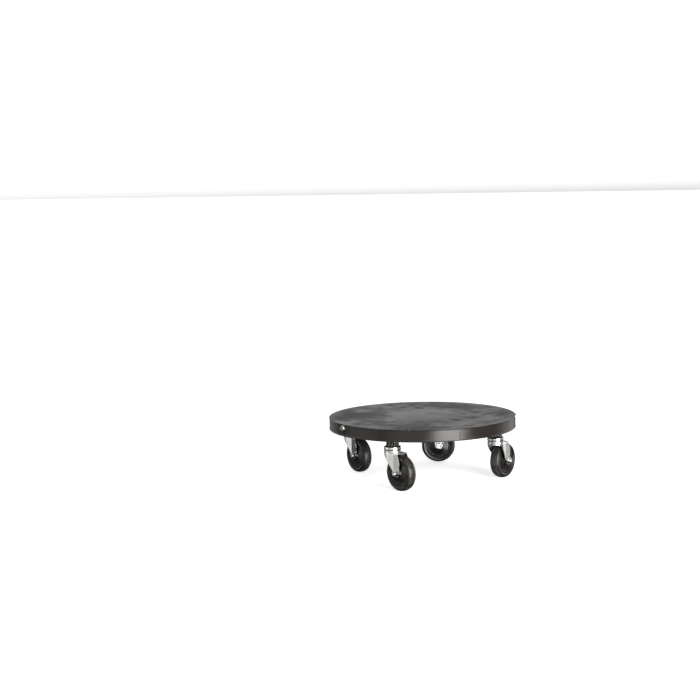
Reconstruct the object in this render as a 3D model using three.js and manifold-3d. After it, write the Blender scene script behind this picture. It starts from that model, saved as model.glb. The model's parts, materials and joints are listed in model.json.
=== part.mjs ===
// Wheel dolly: a round steel platform on four swivel casters, for moving a stack of tyres.
// Millimetres, +Z up. The origin is on the floor under the centre of the platform.
// The cross channels lie along X and Y, and a caster stands near each of their four ends.

import * as THREE from "three";
import { mergeVertices } from "three/addons/utils/BufferGeometryUtils.js";
import Module from "manifold-3d";

const wasm = await Module();
wasm.setup();

// ---------------------------------------------------------------- driving dimensions

const SEAT_GAP = 0.3; // between pieces that touch on the real dolly
const RUN_GAP = 0.1; // from a turning pin to the corners of its faceted hole

const PLATFORM_RADIUS = 296;
const DECK_TOP = 191.5;
const DECK_SHEET = 2.5;
const RIM_BOTTOM = 153.5;
const RIM_SHEET = 2.5;
const RIM_SET_BACK = 1; // of the band's face behind the deck edge and the bead
const BEAD_RADIUS = 2.3; // rolled bead along the lower edge of the band

const CHANNEL_WIDTH = 44;
const CHANNEL_SHEET = 2.5;
const CHANNEL_BOTTOM = 160;
const GUSSET_SIZE = 110;
const GUSSET_SHEET = 3;

const ANCHOR_ANGLES = { left: -124, right: 28 }; // degrees from +X
const ANCHOR_HEIGHT = 179;
const ANCHOR_THREAD = 4; // radius
const ANCHOR_HEX = 13; // across flats
const ANCHOR_HEAD = 5.5;
const ANCHOR_FLANGE = 9; // radius of the washer face under the head

const CASTER_RADIUS = 246; // from the centre to each swivel axis
const CASTERS = {
  right: { place: 0, heading: 76.8 },
  back: { place: 90, heading: 203.8 },
  left: { place: 180, heading: -32.2 },
  front: { place: 270, heading: -27.2 },
};

const STEM_RADIUS = 7; // threaded stem above the upper race
const STEM_TOP = 178;
const WELD_NUT_HEX = 24;
const WELD_NUT_HEIGHT = 12;
const COLLAR_RADIUS = 19.5;
const COLLAR_FLUTES = 12;
const FLUTE_DEPTH = 2.2;

const RACE_TOP = 134; // flat top of the upper race
const RACE_BOTTOM = 123.2;
const RACE_RADIUS = 27;
const PIN_RADIUS = 6; // kingpin below the upper race
const PIN_HEAD_RADIUS = 17;
const PIN_HEAD_TOP = 112.5;
const PIN_HEAD_BOTTOM = 107.5;
const UPPER_BALLS = { circle: 18, ball: 3.5, height: 125.4, count: 8 };
const LOWER_BALLS = { circle: 12, ball: 2.6, height: 115.6, count: 6 };

const TRAIL = 39; // swivel axis to axle
const WHEEL_RADIUS = 55.3;
const WHEEL_WIDTH = 31;
const HUB_WIDTH = 33.8;
const HUB_RADIUS = 13;
const SLEEVE_RADIUS = 7;
const AXLE_RADIUS = 5;
const AXLE_HEX = 16;
const AXLE_HEAD = 6.4;
const AXLE_NUT = 10; // height, with its locking collar
const AXLE_END = 11.5; // of the thread, beyond the face that the nut seats on

const FORK_SHEET = 2.8;
const FORK_INSIDE = 17.3; // from the middle plane to the inner face of a leg
const FORK_CUP_TOP = 121.5;
const CROWN_TOP = 116.5;
const CUP_RADIUS = 26.2;
const CROWN_RADIUS = 27;
const CROWN_REAR = 43; // trailing edge of the crown plate
const SKIRT_BOTTOM = 111; // of the short lip round the nose, in front of the wheel
const LEG_TIP_RADIUS = 12;
const LEG_CREASE = 26; // where the flared web leaves the flat strip
const FORK_REAR = TRAIL + LEG_TIP_RADIUS + 1; // clear of the leg outline
const NOSE_STEPS = 6;

const PIN_FACETS = 16; // of pins, nuts and balls' cages
const ROUND = 20; // of races, forks and other turned pieces
const WHEEL_FACETS = 24;
const PLATFORM_FACETS = 64;

const deg = THREE.MathUtils.degToRad;

// ---------------------------------------------------------------- finishes

const BROWN_BLACK_PAINT = { color: 0x373230, roughness: 0.42, metalness: 0.35 };
const BLACK_PAINT = { color: 0x1b1a1a, roughness: 0.5, metalness: 0.3 };
const BRIGHT_ZINC = { color: 0xb9bcb8, roughness: 0.3, metalness: 0.95 };
const BEARING_STEEL = { color: 0xa8abad, roughness: 0.18, metalness: 1 };
const BLACK_PLASTIC = { color: 0x1e1c1b, roughness: 0.5, metalness: 0 };
const BLACK_RUBBER = { color: 0x2b2725, roughness: 0.75, metalness: 0 };

// ---------------------------------------------------------------- shaping helpers

// A closed geometry as a solid that can be joined and cut.
function solid(geometry) {
  const bare = geometry.clone();
  bare.deleteAttribute("normal");
  bare.deleteAttribute("uv");
  const merged = mergeVertices(bare, 1e-4);
  return new wasm.Manifold(
    new wasm.Mesh({
      numProp: 3,
      vertProperties: merged.attributes.position.array,
      triVerts: new Uint32Array(merged.index.array),
    }),
  );
}

function geometryOf(body) {
  const { vertProperties, triVerts } = body.getMesh();
  const geometry = new THREE.BufferGeometry();
  geometry.setAttribute("position", new THREE.BufferAttribute(vertProperties, 3));
  geometry.setIndex(new THREE.BufferAttribute(triVerts, 1));
  geometry.computeVertexNormals();
  return geometry;
}

// A profile of [radius, height] points turned about Z. It runs up its outer side.
function turned(profile, facets = ROUND) {
  const points = profile.map(([r, z]) => new THREE.Vector2(r, z));
  return new THREE.LatheGeometry(points, facets).rotateX(Math.PI / 2);
}

// A tube about Z, as a closed ring profile.
function ring(inner, outer, low, high, facets = ROUND) {
  const profile = [
    [inner, low],
    [outer, low],
    [outer, high],
    [inner, high],
    [inner, low],
  ];
  return turned(profile, facets);
}

function rod(radius, low, high, facets = ROUND) {
  return turned([[0, low], [radius, low], [radius, high], [0, high]], facets);
}

function block(x, y, z) {
  const geometry = new THREE.BoxGeometry(x[1] - x[0], y[1] - y[0], z[1] - z[0]);
  return geometry.translate((x[0] + x[1]) / 2, (y[0] + y[1]) / 2, (z[0] + z[1]) / 2);
}

function outlineOf(points) {
  return new THREE.Shape(points.map(([x, y]) => new THREE.Vector2(x, y)));
}

function extruded(shape, low, high) {
  const options = { depth: high - low, bevelEnabled: false, curveSegments: PIN_FACETS / 2 };
  return new THREE.ExtrudeGeometry(shape, options).translate(0, 0, low);
}

// A hexagonal nut or head about Z, across flats, with a round hole if one is given.
function hexagon(acrossFlats, low, high, hole = 0) {
  const corner = acrossFlats / Math.sqrt(3);
  const points = [];
  for (let i = 0; i < 6; i++) {
    const turn = (i * Math.PI) / 3;
    points.push([corner * Math.cos(turn), corner * Math.sin(turn)]);
  }
  const shape = outlineOf(points);
  if (hole) shape.holes.push(circlePath(0, 0, hole));
  return extruded(shape, low, high);
}

function circlePath(x, y, radius) {
  return new THREE.Path().absarc(x, y, radius, 0, 2 * Math.PI, true);
}

// Points along a circular arc, in degrees, both ends included.
function arc(centre, radius, from, to, steps) {
  const points = [];
  for (let i = 0; i <= steps; i++) {
    const turn = deg(from + ((to - from) * i) / steps);
    points.push([centre[0] + radius * Math.cos(turn), centre[1] + radius * Math.sin(turn)]);
  }
  return points;
}

function piece(name, geometry, finish) {
  const mesh = new THREE.Mesh(geometry, new THREE.MeshStandardMaterial(finish));
  mesh.name = name;
  return mesh;
}

// ---------------------------------------------------------------- platform

const DECK_UNDERSIDE = DECK_TOP - DECK_SHEET;
const RIM_TOP = DECK_UNDERSIDE - SEAT_GAP;
const RIM_FACE = PLATFORM_RADIUS - RIM_SET_BACK;
const RIM_INSIDE = RIM_FACE - RIM_SHEET;
const CHANNEL_END = Math.sqrt(RIM_INSIDE ** 2 - (CHANNEL_WIDTH / 2) ** 2) - SEAT_GAP;

function deckPlate() {
  const edge = DECK_SHEET / 2;
  const middle = DECK_TOP - edge;
  const round = arc([PLATFORM_RADIUS - edge, middle], edge, -90, 90, 2);
  return turned([[0, DECK_UNDERSIDE], ...round, [0, DECK_TOP]], PLATFORM_FACETS);
}

function rimBand() {
  const bead = [PLATFORM_RADIUS - BEAD_RADIUS, RIM_BOTTOM + BEAD_RADIUS];
  const profile = [
    [RIM_INSIDE, bead[1] + BEAD_RADIUS],
    ...arc(bead, BEAD_RADIUS, 225, 405, 4),
    [RIM_FACE, bead[1] + BEAD_RADIUS + 1],
    [RIM_FACE, RIM_TOP],
    [RIM_INSIDE, RIM_TOP],
    [RIM_INSIDE, bead[1] + BEAD_RADIUS],
  ];
  let band = solid(turned(profile, PLATFORM_FACETS));
  for (const angle of Object.values(ANCHOR_ANGLES)) {
    const hole = rod(ANCHOR_THREAD + SEAT_GAP, -20, 20, 12);
    band = band.subtract(solid(hole.applyMatrix4(anchorPlace(angle))));
  }
  return geometryOf(band);
}

// The frame of an anchor bolt: its Z points out through the band at the anchor height.
function anchorPlace(angle) {
  const out = new THREE.Matrix4().makeRotationY(Math.PI / 2);
  const shift = new THREE.Matrix4().makeTranslation(RIM_FACE, 0, ANCHOR_HEIGHT);
  const around = new THREE.Matrix4().makeRotationZ(deg(angle));
  return around.multiply(shift).multiply(out);
}

function anchorBolt() {
  const flange = rod(ANCHOR_FLANGE, SEAT_GAP, 2, 20);
  const head = hexagon(ANCHOR_HEX, 1.5, 2 + ANCHOR_HEAD);
  const thread = rod(ANCHOR_THREAD, -14, 1, 12);
  return geometryOf(solid(flange).add(solid(head)).add(solid(thread)));
}

function anchorNut() {
  const seat = -RIM_SHEET - 1; // the flat nut clears the round inside of the band
  return hexagon(ANCHOR_HEX, seat - 6.5, seat, ANCHOR_THREAD + SEAT_GAP);
}

// A channel with its web down and its flanges up against the deck, from one X to another.
function channel(from, to, stemPlaces) {
  const half = CHANNEL_WIDTH / 2;
  const inner = half - CHANNEL_SHEET;
  const outline = outlineOf([
    [-half, CHANNEL_BOTTOM],
    [half, CHANNEL_BOTTOM],
    [half, RIM_TOP],
    [inner, RIM_TOP],
    [inner, CHANNEL_BOTTOM + CHANNEL_SHEET],
    [-inner, CHANNEL_BOTTOM + CHANNEL_SHEET],
    [-inner, RIM_TOP],
    [-half, RIM_TOP],
  ]);
  const along = extruded(outline, from, to).rotateX(Math.PI / 2).rotateZ(Math.PI / 2);
  let body = solid(along);
  for (const place of stemPlaces) {
    const hole = rod(STEM_RADIUS + 2 * SEAT_GAP, CHANNEL_BOTTOM - 5, CHANNEL_BOTTOM + 5);
    body = body.subtract(solid(hole.translate(place, 0, 0)));
  }
  return geometryOf(body);
}

function centreGusset() {
  const half = GUSSET_SIZE / 2;
  const cut = 25; // corner chamfer
  const outline = outlineOf([
    [-half + cut, -half],
    [half - cut, -half],
    [half, -half + cut],
    [half, half - cut],
    [half - cut, half],
    [-half + cut, half],
    [-half, half - cut],
    [-half, -half + cut],
  ]);
  const top = CHANNEL_BOTTOM - SEAT_GAP;
  return extruded(outline, top - GUSSET_SHEET, top);
}

function platform() {
  const group = new THREE.Group();
  const halfStart = CHANNEL_WIDTH / 2 + SEAT_GAP;
  const half = () => channel(halfStart, CHANNEL_END, [CASTER_RADIUS]);
  group.add(
    piece("deck_plate", deckPlate(), BROWN_BLACK_PAINT),
    piece("rim_band", rimBand(), BROWN_BLACK_PAINT),
    piece(
      "cross_channel_long",
      channel(-CHANNEL_END, CHANNEL_END, [-CASTER_RADIUS, CASTER_RADIUS]),
      BROWN_BLACK_PAINT,
    ),
    piece("cross_channel_back", half().rotateZ(Math.PI / 2), BROWN_BLACK_PAINT),
    piece("cross_channel_front", half().rotateZ(-Math.PI / 2), BROWN_BLACK_PAINT),
    piece("centre_gusset", centreGusset(), BROWN_BLACK_PAINT),
  );
  for (const [side, angle] of Object.entries(ANCHOR_ANGLES)) {
    const anchor = new THREE.Group();
    anchor.applyMatrix4(anchorPlace(angle));
    anchor.add(
      piece("anchor_bolt_" + side, anchorBolt(), BRIGHT_ZINC),
      piece("anchor_nut_" + side, anchorNut(), BRIGHT_ZINC),
    );
    group.add(anchor);
  }
  return group;
}

// ---------------------------------------------------------------- caster, fixed side

function weldNut() {
  const seat = CHANNEL_BOTTOM + CHANNEL_SHEET + SEAT_GAP;
  return hexagon(WELD_NUT_HEX, seat, seat + WELD_NUT_HEIGHT, STEM_RADIUS + SEAT_GAP);
}

// The lock collar is round, with a row of finger flutes, and jams against the channel.
function lockCollar() {
  const points = [];
  const steps = COLLAR_FLUTES * 3;
  for (let i = 0; i < steps; i++) {
    const turn = (2 * Math.PI * i) / steps;
    const radius = COLLAR_RADIUS - (i % 3 === 0 ? FLUTE_DEPTH : 0);
    points.push([radius * Math.cos(turn), radius * Math.sin(turn)]);
  }
  const shape = outlineOf(points);
  shape.holes.push(circlePath(0, 0, STEM_RADIUS + SEAT_GAP));
  return extruded(shape, RACE_TOP + SEAT_GAP, CHANNEL_BOTTOM - SEAT_GAP);
}

function kingpin() {
  const profile = [
    [0, PIN_HEAD_BOTTOM],
    [9, PIN_HEAD_BOTTOM],
    [PIN_HEAD_RADIUS, PIN_HEAD_TOP - 2],
    [PIN_HEAD_RADIUS, PIN_HEAD_TOP],
    [PIN_RADIUS, PIN_HEAD_TOP],
    [PIN_RADIUS, RACE_TOP - 3],
    [STEM_RADIUS, RACE_TOP - 2],
    [STEM_RADIUS, STEM_TOP - 1],
    [STEM_RADIUS - 1, STEM_TOP],
    [0, STEM_TOP],
  ];
  return turned(profile, PIN_FACETS);
}

function upperRace() {
  const wall = 2.5;
  const bore = STEM_RADIUS + SEAT_GAP;
  const ceiling = UPPER_BALLS.height + UPPER_BALLS.ball + SEAT_GAP;
  const shoulder = 5;
  const centre = [RACE_RADIUS - shoulder, RACE_TOP - shoulder];
  return turned([
    [RACE_RADIUS - wall, RACE_BOTTOM],
    [RACE_RADIUS, RACE_BOTTOM],
    ...arc(centre, shoulder, 0, 90, 3),
    [bore, RACE_TOP],
    [bore, ceiling],
    [RACE_RADIUS - wall - 1, ceiling],
    [RACE_RADIUS - wall, ceiling - 1],
    [RACE_RADIUS - wall, RACE_BOTTOM],
  ]);
}

// ---------------------------------------------------------------- caster, swivel side

// Bearing balls held by a thin cage ring.
function ballRing({ circle, ball, height, count }) {
  let body = solid(ring(circle - 0.8, circle + 0.8, height - 0.5, height + 0.5, PIN_FACETS));
  for (let i = 0; i < count; i++) {
    const turn = (2 * Math.PI * i) / count;
    const round = new THREE.IcosahedronGeometry(ball);
    body = body.add(
      solid(round.translate(circle * Math.cos(turn), circle * Math.sin(turn), height)),
    );
  }
  return geometryOf(body);
}

// Half of the fork's bent sheet, seen from above: along the leg from the rear, creased, and
// then tangent to a circle about the swivel axis, which it follows to the front of the nose.
function skirtLine(legFace, noseRadius) {
  const crease = [LEG_CREASE, legFace];
  const reach = Math.hypot(...crease);
  const tangent = Math.atan2(legFace, LEG_CREASE) + Math.acos(noseRadius / reach);
  const nose = arc([0, 0], noseRadius, THREE.MathUtils.radToDeg(tangent), 180, NOSE_STEPS);
  return [[FORK_REAR, legFace], crease, ...nose];
}

// The whole line, from the rear of one leg round the nose to the rear of the other.
function skirtLoop(legFace, noseRadius) {
  const half = skirtLine(legFace, noseRadius);
  const otherHalf = half.map(([x, y]) => [x, -y]).reverse();
  return [...half, ...otherHalf.slice(1)];
}

// The fork is one pressing: the legs and nose are what the bent sheet and the side outline
// have in common, under a flat crown that carries the cup of the ball races.
function fork() {
  const axle = [TRAIL, WHEEL_RADIUS];
  const outside = FORK_INSIDE + FORK_SHEET;
  const under = CROWN_TOP - FORK_SHEET;
  const loop = skirtLoop(outside, CROWN_RADIUS);
  const inner = skirtLoop(FORK_INSIDE, CROWN_RADIUS - FORK_SHEET);
  const sheet = extruded(outlineOf([...loop, ...inner.reverse()]), 0, CROWN_TOP);

  const outline = outlineOf([
    [-CROWN_RADIUS - 1, CROWN_TOP + 1],
    [-CROWN_RADIUS - 1, SKIRT_BOTTOM],
    [-10, SKIRT_BOTTOM],
    [-7, 106],
    [3, 91],
    [17, 71],
    ...arc(axle, LEG_TIP_RADIUS, 200, 360, 6),
    [TRAIL + LEG_TIP_RADIUS, 92],
    [CROWN_REAR + 3, 108],
    [CROWN_REAR, CROWN_TOP + 1],
  ]);
  outline.holes.push(circlePath(...axle, AXLE_RADIUS + SEAT_GAP));
  const across = extruded(outline, -40, 40).rotateX(Math.PI / 2);

  const middle = skirtLoop(outside - FORK_SHEET / 2, CROWN_RADIUS - FORK_SHEET / 2);
  const crownPlan = middle.map(([x, y]) => [Math.min(x, CROWN_REAR - 0.5), y]);
  const crown = extruded(outlineOf(crownPlan), under, CROWN_TOP);
  const cupInside = CUP_RADIUS - FORK_SHEET;
  const well = rod(CUP_RADIUS - FORK_SHEET / 2, under - 1, CROWN_TOP + 1);
  const bore = PIN_RADIUS + RUN_GAP;
  const cup = turned([
    [cupInside, under + 1],
    [CUP_RADIUS, under + 1],
    [CUP_RADIUS, FORK_CUP_TOP - 1.5],
    [CUP_RADIUS - 1.5, FORK_CUP_TOP],
    [bore, FORK_CUP_TOP],
    [bore, FORK_CUP_TOP - FORK_SHEET],
    [cupInside, FORK_CUP_TOP - FORK_SHEET],
    [cupInside, under + 1],
  ]);
  const legs = solid(sheet).intersect(solid(across));
  return geometryOf(legs.add(solid(crown).subtract(solid(well))).add(solid(cup)));
}

// The axle pieces lie along Y at the wheel centre.
function alongAxle(geometry) {
  return geometry.rotateX(-Math.PI / 2);
}

function axleBolt() {
  const seat = FORK_INSIDE + FORK_SHEET + SEAT_GAP;
  const shank = rod(AXLE_RADIUS, -seat - AXLE_END, seat + 1, PIN_FACETS);
  const head = hexagon(AXLE_HEX, seat, seat + AXLE_HEAD);
  return alongAxle(geometryOf(solid(shank).add(solid(head))));
}

function axleNut() {
  const seat = FORK_INSIDE + FORK_SHEET + SEAT_GAP;
  return alongAxle(hexagon(AXLE_HEX, -seat - AXLE_NUT, -seat, AXLE_RADIUS + SEAT_GAP));
}

function axleSleeve() {
  const half = FORK_INSIDE - SEAT_GAP;
  return alongAxle(ring(AXLE_RADIUS + SEAT_GAP, SLEEVE_RADIUS, -half, half, PIN_FACETS));
}

// ---------------------------------------------------------------- wheel

// A closed profile mirrored in the wheel's middle plane. The side points are
// [radius, half width], from the outer surface round one side to the inner surface.
function mirrored(sidePoints) {
  const otherSide = sidePoints.map(([r, w]) => [r, -w]).reverse();
  return [...sidePoints, ...otherSide, sidePoints[0]];
}

const TREAD_INSIDE = 39.5;

function wheelCore() {
  const bore = SLEEVE_RADIUS + RUN_GAP;
  const hub = HUB_WIDTH / 2;
  const outer = TREAD_INSIDE - SEAT_GAP;
  const side = [
    [outer, 10.5],
    [37.5, 12.6],
    [35, 12.6],
    [33, 8.2],
    [HUB_RADIUS + 3, 12.5],
    [HUB_RADIUS, hub],
    [bore, hub],
  ];
  return alongAxle(turned(mirrored(side), WHEEL_FACETS));
}

function tread() {
  const side = [
    [WHEEL_RADIUS, 4],
    [54.4, 9.6],
    [52, 13.6],
    [48, WHEEL_WIDTH / 2],
    [42, 13.6],
    [TREAD_INSIDE, 11.5],
  ];
  return alongAxle(turned(mirrored(side), WHEEL_FACETS));
}

// ---------------------------------------------------------------- caster assembly

function caster(side, { place, heading }) {
  const fixed = new THREE.Group();
  fixed.position.set(CASTER_RADIUS * Math.cos(deg(place)), CASTER_RADIUS * Math.sin(deg(place)), 0);
  fixed.add(
    piece("weld_nut_" + side, weldNut(), BLACK_PAINT),
    piece("lock_collar_" + side, lockCollar(), BLACK_PAINT),
    piece("kingpin_" + side, kingpin(), BEARING_STEEL),
    piece("upper_race_" + side, upperRace(), BRIGHT_ZINC),
  );

  const swivel = new THREE.Group(); // turns about the kingpin, and its X points to the axle
  swivel.rotation.z = deg(heading);
  swivel.add(
    piece("fork_" + side, fork(), BRIGHT_ZINC),
    piece("upper_ball_ring_" + side, ballRing(UPPER_BALLS), BEARING_STEEL),
    piece("lower_ball_ring_" + side, ballRing(LOWER_BALLS), BEARING_STEEL),
  );

  const axle = new THREE.Group();
  axle.position.set(TRAIL, 0, WHEEL_RADIUS);
  axle.add(
    piece("axle_bolt_" + side, axleBolt(), BRIGHT_ZINC),
    piece("axle_nut_" + side, axleNut(), BRIGHT_ZINC),
    piece("axle_sleeve_" + side, axleSleeve(), BEARING_STEEL),
    piece("wheel_core_" + side, wheelCore(), BLACK_PLASTIC),
    piece("tread_" + side, tread(), BLACK_RUBBER),
  );
  swivel.add(axle);
  fixed.add(swivel);
  return fixed;
}

const dolly = new THREE.Group();
dolly.add(platform());
for (const [side, layout] of Object.entries(CASTERS)) dolly.add(caster(side, layout));

export default dolly;
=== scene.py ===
import json
import math

import bmesh
import bpy
from mathutils import Matrix, Vector

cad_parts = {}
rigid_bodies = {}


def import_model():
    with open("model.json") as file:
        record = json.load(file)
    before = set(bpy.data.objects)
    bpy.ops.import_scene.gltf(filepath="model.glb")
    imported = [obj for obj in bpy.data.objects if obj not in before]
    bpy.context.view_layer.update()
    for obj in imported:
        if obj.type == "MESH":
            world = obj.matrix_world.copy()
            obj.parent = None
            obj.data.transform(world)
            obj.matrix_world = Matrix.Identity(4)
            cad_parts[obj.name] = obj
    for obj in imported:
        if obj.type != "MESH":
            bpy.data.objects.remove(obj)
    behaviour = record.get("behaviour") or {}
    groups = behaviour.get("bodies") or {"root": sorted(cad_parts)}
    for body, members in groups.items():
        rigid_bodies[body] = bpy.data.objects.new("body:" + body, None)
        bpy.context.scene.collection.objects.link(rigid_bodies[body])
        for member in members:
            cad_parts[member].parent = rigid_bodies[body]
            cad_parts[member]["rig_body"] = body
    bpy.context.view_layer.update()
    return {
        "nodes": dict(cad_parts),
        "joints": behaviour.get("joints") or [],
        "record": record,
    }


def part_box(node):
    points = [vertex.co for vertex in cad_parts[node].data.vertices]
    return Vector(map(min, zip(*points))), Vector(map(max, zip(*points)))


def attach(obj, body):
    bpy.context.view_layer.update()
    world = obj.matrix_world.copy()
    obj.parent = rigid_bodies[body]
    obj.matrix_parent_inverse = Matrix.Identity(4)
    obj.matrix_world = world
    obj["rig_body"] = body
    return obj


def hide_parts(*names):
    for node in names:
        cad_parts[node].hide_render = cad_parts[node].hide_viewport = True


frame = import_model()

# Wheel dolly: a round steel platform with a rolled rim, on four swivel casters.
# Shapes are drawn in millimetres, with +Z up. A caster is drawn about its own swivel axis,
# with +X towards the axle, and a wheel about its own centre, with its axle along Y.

MM = 0.001
SIDES = ("right", "back", "left", "front")
JOINTS = {joint["name"]: joint for joint in frame["joints"]}
SLOTS = {row["node"]: row["material_slot"] for row in frame["record"]["subparts"]}


def box_mm(node):
    """A node's lowest and highest corners, in millimetres."""
    low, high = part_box(node)
    return low / MM, high / MM


# ---------------------------------------------------------------- sizes, from the frame

DECK_LOW, DECK_HIGH = box_mm("deck_plate")
RIM_LOW, RIM_HIGH = box_mm("rim_band")
CHANNEL_LOW, CHANNEL_HIGH = box_mm("cross_channel_long")
GUSSET_LOW, GUSSET_HIGH = box_mm("centre_gusset")
COLLAR_LOW, COLLAR_HIGH = box_mm("lock_collar_right")
NUT_LOW, NUT_HIGH = box_mm("weld_nut_right")
RACE_LOW, RACE_HIGH = box_mm("upper_race_right")
PIN_LOW, PIN_HIGH = box_mm("kingpin_right")
PLATFORM_RADIUS = DECK_HIGH.x
WHEEL_RADIUS = JOINTS["roll_right"]["pos_m"][2] / MM

# ---------------------------------------------------------------- sizes that the frame doesn't give

DECK_EDGE = 0.9  # rounding of the deck's edge
RIM_SHEET = 2.5
RIM_SET_BACK = 1.0  # of the band's face behind the deck edge
BEAD_RADIUS = 2.3  # bead rolled along the lower edge of the band
SEAM_TURN = math.radians(-46.5)  # where the band's ends are welded together
SEAM_WIDTH = 2.4
SEAM_HEIGHT = 0.25

CHANNEL_SHEET = 2.5
CHANNEL_BEND = 4.0  # outer radius of its folds
GUSSET_CUT = 25.0  # corner chamfer
STEM_HOLE = 7.6

ANCHOR_TURNS = {"left": math.radians(-124), "right": math.radians(28)}
ANCHOR_HEIGHT = 179.0
ANCHOR_HEX = 13.0
ANCHOR_HEAD = 7.5
ANCHOR_SHANK = 4.0
ANCHOR_PITCH = 1.25
ANCHOR_LENGTH = 14.0

STEM_RADIUS = 7.0
STEM_PITCH = 2.0
WELD_NUT_HEX = 24.0
COLLAR_RADIUS = 19.5
COLLAR_FLUTES = 12
FLUTE_DEPTH = 2.2
RACE_RADIUS = 27.0
RACE_SHEET = 2.5
RACE_CEILING = 129.2
PIN_RADIUS = 6.0
PIN_HEAD_RADIUS = 17.0
PIN_HEAD_TOP = 112.5

CROWN_TOP = 116.5
CROWN_REAR = 43.0  # trailing edge of the fork's crown
NOSE_RADIUS = 27.0
NOSE_BOTTOM = 111.0
CUP_RADIUS = 26.2
CUP_TOP = 121.5
CROWN_HOLE = 22.0  # under the cup
FORK_SHEET = 2.8
FORK_BEND = 3.4  # outer radius of the fold round the crown
LEG_FACE = 20.1  # outer face of a leg, from the middle plane
LEG_CREASE = 26.0  # where the flared web leaves the flat strip
LEG_TIP_RADIUS = 12.0
TRAIL = 39.0  # swivel axis to axle
AXLE_RADIUS = 5.0
AXLE_PITCH = 1.5
AXLE_HEX = 16.0
AXLE_HEAD = 6.4
AXLE_NUT = 10.0
AXLE_END = 11.5  # of the thread, beyond the face that the nut seats on
SEAT_GAP = 0.3

TYRE_INSIDE = 39.5
HUB_HALF_WIDTH = 16.9
SLEEVE_RADIUS = 7.0

# ---------------------------------------------------------------- outlines and shells


def rounded(corners, closed=False, steps=5):
    """A line through corners (x, y) or (x, y, radius), with an arc wherever a radius is given."""
    line = []
    for i, corner in enumerate(corners):
        here = Vector(corner[:2])
        radius = corner[2] if len(corner) > 2 else 0
        if not radius or not (closed or 0 < i < len(corners) - 1):
            line.append(here)
            continue
        back = (Vector(corners[i - 1][:2]) - here).normalized()
        ahead = (Vector(corners[(i + 1) % len(corners)][:2]) - here).normalized()
        half = back.angle(ahead) / 2
        reach = radius / math.tan(half)
        centre = here + (back + ahead).normalized() * radius / math.sin(half)
        start = here + back * reach - centre
        end = here + ahead * reach - centre
        sweep = math.atan2(start.x * end.y - start.y * end.x, start.dot(end))
        guard = 0.12 * radius  # keeps the flats beside the arc flat
        line.append(centre + start + back * guard)
        for step in range(steps + 1):
            line.append(centre + Matrix.Rotation(sweep * step / steps, 2) @ start)
        line.append(centre + end + ahead * guard)
    return [tuple(point) for point in line]


def arc(centre, radius, start, end, steps):
    """Points along a circle, from one angle to another in degrees."""
    turns = [math.radians(start + (end - start) * i / steps) for i in range(steps + 1)]
    return [(centre[0] + radius * math.cos(t), centre[1] + radius * math.sin(t)) for t in turns]


def even_turns(count):
    return [2 * math.pi * i / count for i in range(count)]


def grid(columns, closed=False):
    """A surface through columns of points."""
    rows = len(columns[0])
    corners = [tuple(point) for column in columns for point in column]
    faces = []
    for i in range(len(columns) if closed else len(columns) - 1):
        j = (i + 1) % len(columns)
        for k in range(rows - 1):
            faces.append((i * rows + k, j * rows + k, j * rows + k + 1, i * rows + k + 1))
    return corners, faces


def spun(profile, turns=96):
    """A profile turned about Z. A row is (radius, height), or gives that from the turn."""
    turns = even_turns(turns) if isinstance(turns, int) else turns
    columns = []
    for turn in turns:
        rows = [row(turn) if callable(row) else row for row in profile]
        columns.append([(r * math.cos(turn), r * math.sin(turn), z) for r, z in rows])
    return grid(columns, closed=True)


def ring_profile(points):
    """A profile that closes on itself, for a piece with a hole through it."""
    return [*points, points[0]]


def extruded(outline, low, high):
    """A flat outline drawn up from one height to another."""
    count = len(outline)
    corners = [(x, y, low) for x, y in outline] + [(x, y, high) for x, y in outline]
    faces = [tuple(reversed(range(count))), tuple(range(count, 2 * count))]
    for i in range(count):
        j = (i + 1) % count
        faces.append((i, j, count + j, count + i))
    return corners, faces


def rod(radius, low, high, turns=48):
    return spun([(0, low), (radius, low), (radius, high), (0, high)], turns)


def moved(shell, matrix):
    corners, faces = shell
    return [tuple(matrix @ Vector(corner)) for corner in corners], faces


def together(*shells):
    """Several shells as one."""
    corners, faces = [], []
    for more_corners, more_faces in shells:
        first = len(corners)
        corners += more_corners
        faces += [tuple(first + i for i in face) for face in more_faces]
    return corners, faces


def rough_piece(shell):
    """A scratch object in metres, with its seams closed and its faces pointing out."""
    corners, faces = shell
    mesh = bpy.data.meshes.new("rough")
    mesh.from_pydata([Vector(corner) * MM for corner in corners], [], faces)
    made = bmesh.new()
    made.from_mesh(mesh)
    bmesh.ops.remove_doubles(made, verts=made.verts, dist=0.0005 * MM)
    bmesh.ops.recalc_face_normals(made, faces=made.faces)
    made.to_mesh(mesh)
    made.free()
    piece = bpy.data.objects.new("rough", mesh)
    bpy.context.scene.collection.objects.link(piece)
    return piece


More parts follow.
